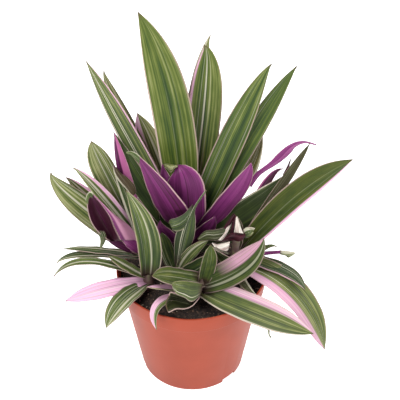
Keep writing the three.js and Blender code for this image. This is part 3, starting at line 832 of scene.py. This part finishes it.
def make_floor_material():
    material, tree = new_material("white_floor", roughness=0.8)
    inputs = tree.nodes["Principled BSDF"].inputs
    inputs["Emission Color"].default_value = (1, 1, 1, 1)
    inputs["Emission Strength"].default_value = FLOOR_GLOW
    shade = noise_of(object_place(tree), 3)
    return painted(material, ramp(shade, FLOOR_WHITES))


def new_mesh(name, vertices, faces):
    mesh = bpy.data.meshes.new(name)
    mesh.from_pydata(vertices, [], faces)
    return mesh


def mesh_of(name, shape):
    """The mesh of a bmesh, which is freed."""
    mesh = bpy.data.meshes.new(name)
    shape.to_mesh(mesh)
    shape.free()
    return mesh


def new_object(name, data):
    made = bpy.data.objects.new(name, data)
    bpy.context.scene.collection.objects.link(made)
    return made


def add_object(name, mesh, materials):
    for material in materials:
        mesh.materials.append(material)
    return new_object(name, mesh)


def add_piece(name, mesh, materials, slot, *nodes):
    """A piece of the plant, in millimetres until here, that stands for CAD nodes."""
    mesh.transform(Matrix.Scale(MM, 4))
    piece = add_object(name, mesh, materials)
    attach(piece, "root")
    if nodes:
        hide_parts(*nodes)


def heading_vector(degrees):
    angle = math.radians(degrees)
    return Vector((math.cos(angle), math.sin(angle), 0))


def arc_point(start, handle, end, t):
    """A point of the quadratic curve from start to end that bends towards the handle."""
    return start * (1 - t) ** 2 + handle * 2 * t * (1 - t) + end * t**2


def midrib_of(leaf, stations):
    """Points and directions along the midrib, evenly spaced, and the heading of its root."""
    shoot = SHOOTS[leaf["shoot"]]
    axis = Vector((*shoot["at"], leaf["root"]))
    mid = Vector(leaf["mid"])
    tip = Vector(leaf["tip"])
    heading = math.degrees(math.atan2(mid.y - axis.y, mid.x - axis.x))
    root = axis + heading_vector(heading) * shoot["radius"] * ROOT_REACH
    handle = mid * 2 - (root + tip) / 2
    fine = [k / MIDRIB_SAMPLES for k in range(MIDRIB_SAMPLES + 1)]
    curve = [arc_point(root, handle, tip, t) for t in fine]
    run = np.concatenate([[0], np.cumsum([(b - a).length for a, b in zip(curve, curve[1:])])])
    places = np.interp(np.linspace(0, run[-1], stations + 1), run, fine)
    points = [arc_point(root, handle, tip, t) for t in places]
    tangents = [((handle - root) * (1 - t) + (tip - handle) * t).normalized() for t in places]
    return points, tangents, heading


def width_share(leaf, along):
    """Share of the full width at a share of the length."""
    base = leaf["base"]
    peak = leaf["peak"]
    if along < peak:
        return base + (1 - base) * math.sin(math.pi / 2 * along / peak)
    return 1 - ((along - peak) / (1 - peak)) ** leaf["taper"]


def fold_angle(leaf, along):
    fold = leaf["fold"]
    near_root = max(0, 1 - along / ROOT_LENGTH) ** 1.5
    return math.radians(fold + (ROOT_FOLD - fold) * near_root)


def section_of(fold, strips):
    """Sideways and upward places of a folded section of half width 1, from the midrib out."""
    count = strips * SECTION_STEPS
    places = [(0.0, 0.0)]
    for k in range(count):
        out = (k + 0.5) / count
        angle = fold * min(1, out / FOLD_REACH)
        x, lift = places[-1]
        places.append((x + math.cos(angle) / count, lift + math.sin(angle) / count))
    return places[::SECTION_STEPS]


def ripple_of(along, share, sign):
    """Height of the waves of a margin, which fade out towards the midrib, the root and the tip."""
    if along >= RIPPLE_END:
        return 0
    wave = RIPPLE * share**3 * math.sin(along * RIPPLE_WAVES * 2 * math.pi + sign)
    return wave * math.sin(math.pi * (along * RIPPLE_FADE))


def two_sides(place, normal, thickness):
    """The upper and the lower point at a place of the middle of a blade."""
    return place + normal * thickness / 2, place - normal * thickness / 2


def blade_grid(leaf, stations, strips):
    """Rows of upper and lower points, from root to tip, each row from margin to margin."""
    points, tangents, heading = midrib_of(leaf, stations)
    side = heading_vector(leaf.get("face", heading + 180) - 90)
    grid = []
    for i, (centre, tangent) in enumerate(zip(points, tangents)):
        along = i / stations
        side = (side - tangent * side.dot(tangent)).normalized()
        across = Matrix.Rotation(math.radians(leaf["roll"]), 3, tangent) @ side
        upper = tangent.cross(across)
        half = max(leaf["width"] / 2 * width_share(leaf, along), LEAST_HALF_WIDTH)
        section = section_of(fold_angle(leaf, along), strips // 2)
        row = []
        for j in range(strips + 1):
            out, lift = section[abs(j - strips // 2)]
            sign = 1 if j > strips // 2 else -1
            share = abs(2 * j / strips - 1)
            rise = half * lift + ripple_of(along, share, sign)
            place = centre + across * half * out * sign + upper * rise
            thickness = BLADE_MIDDLE + (BLADE_EDGE - BLADE_MIDDLE) * share
            row.append(two_sides(place, upper, thickness))
        grid.append(row)
    return grid


def blade_mesh(name, leaf):
    """A leaf of the tables as a closed blade."""
    small = (Vector(leaf["tip"]) - Vector(leaf["mid"])).length * 2 < SMALL_LEAF
    grid = blade_grid(leaf, *(SMALL_GRID if small else FULL_GRID))
    return closed_blade(name, grid, leaf)


def mark_values(marks):
    """The numbers that the materials read from a leaf. The seed is a random draw."""
    values = {"seed": random.random()}
    for mark, plain in PLAIN_MARKS.items():
        value = marks.get(mark, plain)
        if plain == NO_BAND:
            values[f"{mark}_from"], values[f"{mark}_to"] = value
        else:
            values[mark] = value
    return values


def closed_blade(name, grid, marks):
    """A closed mesh with its upper side in the first material and its underside in the second."""
    stations = len(grid) - 1
    strips = len(grid[0]) - 1
    row = strips + 1
    under = (stations + 1) * row
    faces = []
    for i in range(stations):
        for j in range(strips):
            a, b = i * row + j, (i + 1) * row + j
            faces.append((a, b, b + 1, a + 1))
            faces.append((under + a, under + a + 1, under + b + 1, under + b))
    for i in range(stations):
        a, b = i * row, (i + 1) * row
        faces.append((a, under + a, under + b, b))
        faces.append((a + strips, b + strips, under + b + strips, under + a + strips))
    for j in range(strips):
        end = stations * row + j
        faces.append((j, j + 1, under + j + 1, under + j))
        faces.append((end, under + end, under + end + 1, end + 1))
    mesh = new_mesh(name, [pair[side] for side in (0, 1) for line in grid for pair in line], faces)
    cells = stations * strips
    rims = len(faces) - 2 * cells
    mesh.polygons.foreach_set("material_index", [0, 1] * cells + [0] * rims)
    mesh.polygons.foreach_set("use_smooth", [True, True] * cells + [False] * rims)
    uv = mesh.uv_layers.new(name="UVMap")
    for loop in mesh.loops:
        k = loop.vertex_index % under
        uv.data[loop.index].uv = ((k % row) / strips, (k // row) / stations)
    for key, value in mark_values(marks).items():
        data = mesh.attributes.new(key, "FLOAT", "POINT").data
        data.foreach_set("value", [value] * len(mesh.vertices))
    mesh.validate()
    return mesh


def smooth_line(points, steps):
    """Points of a smooth curve that runs through the given points."""
    last = len(points) - 1
    line = []
    for k in range(last):
        a, b, c, d = (points[min(max(i, 0), last)] for i in range(k - 1, k + 3))
        for step in range(steps):
            t = step / steps
            bend = (2 * a - 5 * b + 4 * c - d) * t**2 + (3 * b - a - 3 * c + d) * t**3
            line.append((2 * b + (c - a) * t + bend) / 2)
    line.append(points[last])
    return line


def sheet_mesh(name, net, marks):
    """A thin crumpled sheet through a net of points."""
    lines = [smooth_line([Vector(point) for point in row], SHEET_STEPS) for row in net]
    columns = [smooth_line(list(column), SHEET_STEPS) for column in zip(*lines)]
    middle = [list(row) for row in zip(*columns)]
    grid = []
    for i, row in enumerate(middle):
        pairs = []
        for j, point in enumerate(row):
            along = middle[min(i + 1, len(middle) - 1)][j] - middle[max(i - 1, 0)][j]
            across = row[min(j + 1, len(row) - 1)] - row[max(j - 1, 0)]
            pairs.append(two_sides(point, along.cross(across).normalized(), SHEET_THICKNESS))
        grid.append(pairs)
    return closed_blade(name, grid, marks)


def joined(name, meshes):
    """One mesh out of several that share their materials and attributes."""
    shape = bmesh.new()
    for mesh in meshes:
        shape.from_mesh(mesh)
    return mesh_of(name, shape)


def make_leaves(materials):
    for name, leaf in LEAVES.items():
        piece = f"blade_{name}"
        if "sheets" in leaf:
            mesh = joined(piece, [sheet_mesh(piece, net, marks) for net, marks in leaf["sheets"]])
        else:
            mesh = blade_mesh(piece, leaf)
        add_piece(piece, mesh, materials, f"leaf_{leaf['kind']}", f"leaf_{name}")


def make_small_leaves(materials):
    for name, leaf in EXTRA_LEAVES.items():
        add_piece(f"small_{name}", blade_mesh(name, leaf), materials, f"leaf_{leaf['kind']}")


def make_sheets(materials):
    """The petals of the bract at the right shoot, a dark sheet of painted shade between them, and the
    crumpled leaflets.
    """
    sides = {
        "green": materials,
        "petal": [make_petal_material()] * 2,
        "lip": [make_lip_and_shade_material()] * 2,
    }
    for name, piece in SHEETS.items():
        kind = piece["kind"]
        mesh = sheet_mesh(name, piece["net"], piece["marks"])
        add_piece(name, mesh, sides[kind], SHEET_SLOTS[kind])


def circle(radius, sides):
    """Places (x, y) around the Z axis."""
    angles = [2 * math.pi * k / sides for k in range(sides)]
    return [(radius * math.cos(angle), radius * math.sin(angle)) for angle in angles]


def turned_mesh(name, profile, sides):
    """A closed profile of (radius, height) points, turned about the Z axis."""
    vertices = []
    rings = []
    for radius, height in profile:
        first = len(vertices)
        if radius == 0:
            rings.append([first] * sides)
            vertices.append((0, 0, height))
        else:
            rings.append(range(first, first + sides))
            vertices += [(x, y, height) for x, y in circle(radius, sides)]
    faces = []
    for low, high in zip(rings, rings[1:]):
        for k in range(sides):
            corners = [low[k], low[(k + 1) % sides], high[(k + 1) % sides], high[k]]
            faces.append(tuple(dict.fromkeys(corners)))
    mesh = new_mesh(name, vertices, faces)
    mesh.validate()
    return mesh


def rounded(profile, radius, steps=4):
    """The profile with each inner corner replaced by a small arc, where its sides are long enough."""
    points = [Vector(p) for p in profile]
    result = [tuple(points[0])]
    for before, corner, after in zip(points, points[1:], points[2:]):
        reach = min(radius, (before - corner).length / 2.2, (after - corner).length / 2.2)
        start = corner + (before - corner).normalized() * reach
        end = corner + (after - corner).normalized() * reach
        result += [tuple(arc_point(start, corner, end, k / steps)) for k in range(steps + 1)]
    result.append(tuple(points[-1]))
    return result


def make_stub():
    foot = Vector(STUB_FOOT)
    lean = Vector(STUB_TOP) - foot
    length = lean.length
    waist = (STUB_RADIUS * 0.9, length / 2)
    profile = [(0, 0), (STUB_RADIUS, 0), waist, (STUB_RADIUS, length), (0, length)]
    stub = turned_mesh("stalk_stub", rounded(profile, STUB_ROUNDING, steps=3), STUB_SIDES)
    stub.shade_smooth()
    stub.transform(Matrix.Translation(foot) @ lean.to_track_quat("Z", "Y").to_matrix().to_4x4())
    add_piece("stalk_stub", stub, [make_stem_material()], "stem")


def wall_radius(height):
    return POT_BASE_RADIUS + (WALL_TOP_RADIUS - POT_BASE_RADIUS) * height / LIP_BOTTOM


def cut(piece, cutters):
    """Cuts closed meshes out of a piece and leaves no modifier behind."""
    for cutter in cutters:
        modifier = piece.modifiers.new("cut", "BOOLEAN")
        modifier.object = new_object("cutter", cutter)
        modifier.solver = "EXACT"
    bpy.context.view_layer.update()
    whole = piece.evaluated_get(bpy.context.evaluated_depsgraph_get())
    mesh = bpy.data.meshes.new_from_object(whole)
    for modifier in list(piece.modifiers):
        tool = modifier.object
        piece.modifiers.remove(modifier)
        bpy.data.objects.remove(tool)
    piece.data = mesh


def around(degrees, radius):
    """The place at a heading and a distance from the pot's axis."""
    return Matrix.Rotation(math.radians(degrees), 4, "Z") @ Matrix.Translation((radius, 0, 0))


def notch_cutter(degrees):
    shape = bmesh.new()
    size = Matrix.Diagonal((2 * NOTCH_DEPTH, NOTCH_WIDTH, 2 * NOTCH_HEIGHT, 1))
    bmesh.ops.create_cube(shape, size=1, matrix=around(degrees, POT_BASE_RADIUS) @ size)
    return mesh_of("notch", shape)


def drain_cutter(degrees):
    shape = bmesh.new()
    bmesh.ops.create_cone(shape, cap_ends=True, segments=DRAIN_SIDES, radius1=DRAIN_RADIUS,
                          radius2=DRAIN_RADIUS, depth=4 * POT_FLOOR, matrix=around(degrees, DRAIN_CIRCLE))
    return mesh_of("drain", shape)


def make_pot():
    profile = [
        (0, 0),
        (POT_BASE_RADIUS, 0),
        (WALL_TOP_RADIUS, LIP_BOTTOM),
        (LIP_BOTTOM_RADIUS, LIP_BOTTOM),
        (POT_RIM_RADIUS, POT_HEIGHT),
        (POT_RIM_RADIUS - POT_WALL, POT_HEIGHT),
        (LIP_BOTTOM_RADIUS - POT_WALL, SHELF_HEIGHT),
        (WALL_TOP_RADIUS - POT_WALL, SHELF_HEIGHT - SHELF_SLOPE),
        (wall_radius(POT_FLOOR) - POT_WALL, POT_FLOOR),
        (0, POT_FLOOR),
    ]
    mesh = turned_mesh("nursery_pot", rounded(profile, POT_ROUNDING), POT_SIDES)
    piece = add_object("nursery_pot", mesh, [make_pot_material()])
    notches = [notch_cutter(NOTCH_FIRST_ANGLE + 360 / NOTCH_COUNT * k) for k in range(NOTCH_COUNT)]
    drains = [drain_cutter(360 / DRAIN_COUNT * k) for k in range(DRAIN_COUNT)]
    cut(piece, notches + drains)
    piece.data.transform(Matrix.Scale(MM, 4))
    piece.data.shade_smooth()
    piece.data.set_sharp_from_angle(angle=math.radians(POT_CREASE_ANGLE))
    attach(piece, "root")
    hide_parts("pot")


def soil_height(x, y):
    reach = min(1, math.hypot(x, y) / (POT_RIM_RADIUS - POT_WALL))
    heap = SOIL_HEAP * (1 - reach**2)
    place = Vector((x, y, 0))
    lumps = 0
    for size, octaves, height in SOIL_LUMPS:
        lumps += noise.fractal(place / size, 1, 2, octaves) * height
    return SOIL_LEVEL + heap + lumps


def make_soil():
    """The soil's rough top and the plain sides that the pot hides."""
    lip = LIP_BOTTOM_RADIUS - POT_WALL - SOIL_GAP
    wall = WALL_TOP_RADIUS - POT_WALL - SOIL_GAP
    foot = POT_FLOOR + SOIL_GAP
    edge = lip + (SOIL_LEVEL - SHELF_HEIGHT) * LIP_DRAFT / LIP_HEIGHT
    vertices = [(0, 0, soil_height(0, 0))]
    for i in range(1, SOIL_RINGS + 1):
        places = circle(edge * i / SOIL_RINGS, SOIL_SIDES)
        vertices += [(x, y, soil_height(x, y)) for x, y in places]
    lower = [
        (lip, SHELF_HEIGHT + SOIL_GAP),
        (wall, SHELF_HEIGHT + SOIL_GAP),
        (wall, SHELF_HEIGHT - SHELF_SLOPE),
        (wall_radius(POT_FLOOR) - POT_WALL - SOIL_FOOT_GAP, foot),
    ]
    for radius, height in lower:
        vertices += [(x, y, height) for x, y in circle(radius, SOIL_SIDES)]
    last = len(vertices)
    vertices.append((0, 0, foot))
    around_once = [(k, (k + 1) % SOIL_SIDES) for k in range(SOIL_SIDES)]
    faces = [(0, 1 + k, 1 + after) for k, after in around_once]
    for i in range(SOIL_RINGS + len(lower) - 1):
        a, b = 1 + i * SOIL_SIDES, 1 + (i + 1) * SOIL_SIDES
        faces += [(a + k, b + k, b + after, a + after) for k, after in around_once]
    a = last - SOIL_SIDES
    faces += [(a + after, a + k, last) for k, after in around_once]
    mesh = new_mesh("peat", vertices, faces)
    mesh.shade_smooth()
    add_piece("peat", mesh, [make_soil_material()], "soil", "soil")


def make_crumbs():
    """Crumbs and fibres strewn over the soil, in one mesh."""
    crumbs = bmesh.new()
    tint = crumbs.verts.layers.float.new("seed")
    reach = POT_RIM_RADIUS - POT_WALL - CRUMB_MARGIN
    for _ in range(CRUMB_COUNT):
        radius = reach * math.sqrt(random.random())
        angle = 2 * math.pi * random.random()
        x, y = radius * math.cos(angle), radius * math.sin(angle)
        size = random.uniform(*CRUMB_SIZES)
        stretch = random.uniform(*CRUMB_STRETCHES) if random.random() < STRETCHED_CRUMBS else 1
        turn = Matrix.Rotation(random.uniform(0, math.pi), 4, "Z")
        turn = turn @ Matrix.Rotation(random.uniform(-CRUMB_TILT, CRUMB_TILT), 4, "Y")
        slim = stretch**0.5
        shape = Matrix.Diagonal((size * stretch, size / slim, size * CRUMB_FLATNESS / slim, 1))
        place = Matrix.Translation((x, y, soil_height(x, y) + size * CRUMB_LIFT))
        made = bmesh.ops.create_icosphere(crumbs, subdivisions=1, radius=1, matrix=place @ turn @ shape)
        hue = random.random()
        for vertex in made["verts"]:
            vertex[tint] = hue
            shift = [random.uniform(-CRUMB_ROUGHNESS, CRUMB_ROUGHNESS) * size for _ in range(3)]
            vertex.co += Vector(shift)
    add_piece("peat_crumbs", mesh_of("peat_crumbs", crumbs), [make_crumb_material()], "soil")


def make_stems():
    """Short ringed stems, with a rounded top between the leaf bases."""
    material = make_stem_material()
    for name, shoot in SHOOTS.items():
        parts = [(STEM_FOOT, STEM_FOOT_SHAPE)]
        height = STEM_FOOT + RING_START
        while height < shoot["top"] - RINGLESS_TOP:
            parts.append((height, STEM_RING_SHAPE))
            height += RING_SPACING
        parts.append((shoot["top"], STEM_TOP_SHAPE))
        radius = shoot["radius"]
        profile = [(radius * share, base + rise) for base, shape in parts for share, rise in shape]
        mesh = turned_mesh(f"{name}_shoot", rounded(profile, STEM_ROUNDING, steps=3), STEM_SIDES)
        mesh.shade_smooth()
        mesh.transform(Matrix.Translation((*shoot["at"], 0)))
        add_piece(f"{name}_shoot", mesh, [material], "stem", f"{name}_stem")


def make_camera():
    data = bpy.data.cameras.new("camera")
    data.lens = CAMERA_LENS
    data.sensor_width = CAMERA_SENSOR
    camera = new_object("camera", data)
    camera.location = Vector(CAMERA_PLACE) * MM
    camera.rotation_euler = (math.radians(90 - CAMERA_DOWN), 0, math.radians(-CAMERA_RIGHT))
    bpy.context.scene.camera = camera


def make_lights():
    for name, softbox in LIGHTS.items():
        data = bpy.data.lights.new(name, "AREA")
        data.energy = softbox["power"]
        data.size = softbox["size"]
        light = new_object(name, data)
        light.location = softbox["place"]
        aim = Vector(LIGHT_TARGET) - Vector(softbox["place"])
        light.rotation_euler = aim.to_track_quat("-Z", "Y").to_euler()
    world = bpy.data.worlds.new("studio")
    world.use_nodes = True
    background = world.node_tree.nodes["Background"]
    background.inputs[0].default_value = (1, 1, 1, 1)
    background.inputs[1].default_value = WORLD_STRENGTH
    bpy.context.scene.world = world


def make_floor():
    corners = [(-1, -1), (1, -1), (1, 1), (-1, 1)]
    corners = [(x * FLOOR_REACH, y * FLOOR_REACH, 0) for x, y in corners]
    mesh = new_mesh("floor", corners, [(0, 1, 2, 3)])
    add_object("floor", mesh, [make_floor_material()])


random.seed(RANDOM_SEED)
make_camera()
make_lights()
make_floor()
make_pot()
make_soil()
make_crumbs()
make_stems()
leaf_sides = [make_upper_material(), make_under_material()]
make_leaves(leaf_sides)
make_small_leaves(leaf_sides)
make_sheets(leaf_sides)
make_stub()
bpy.context.scene.view_settings.view_transform = "Standard"
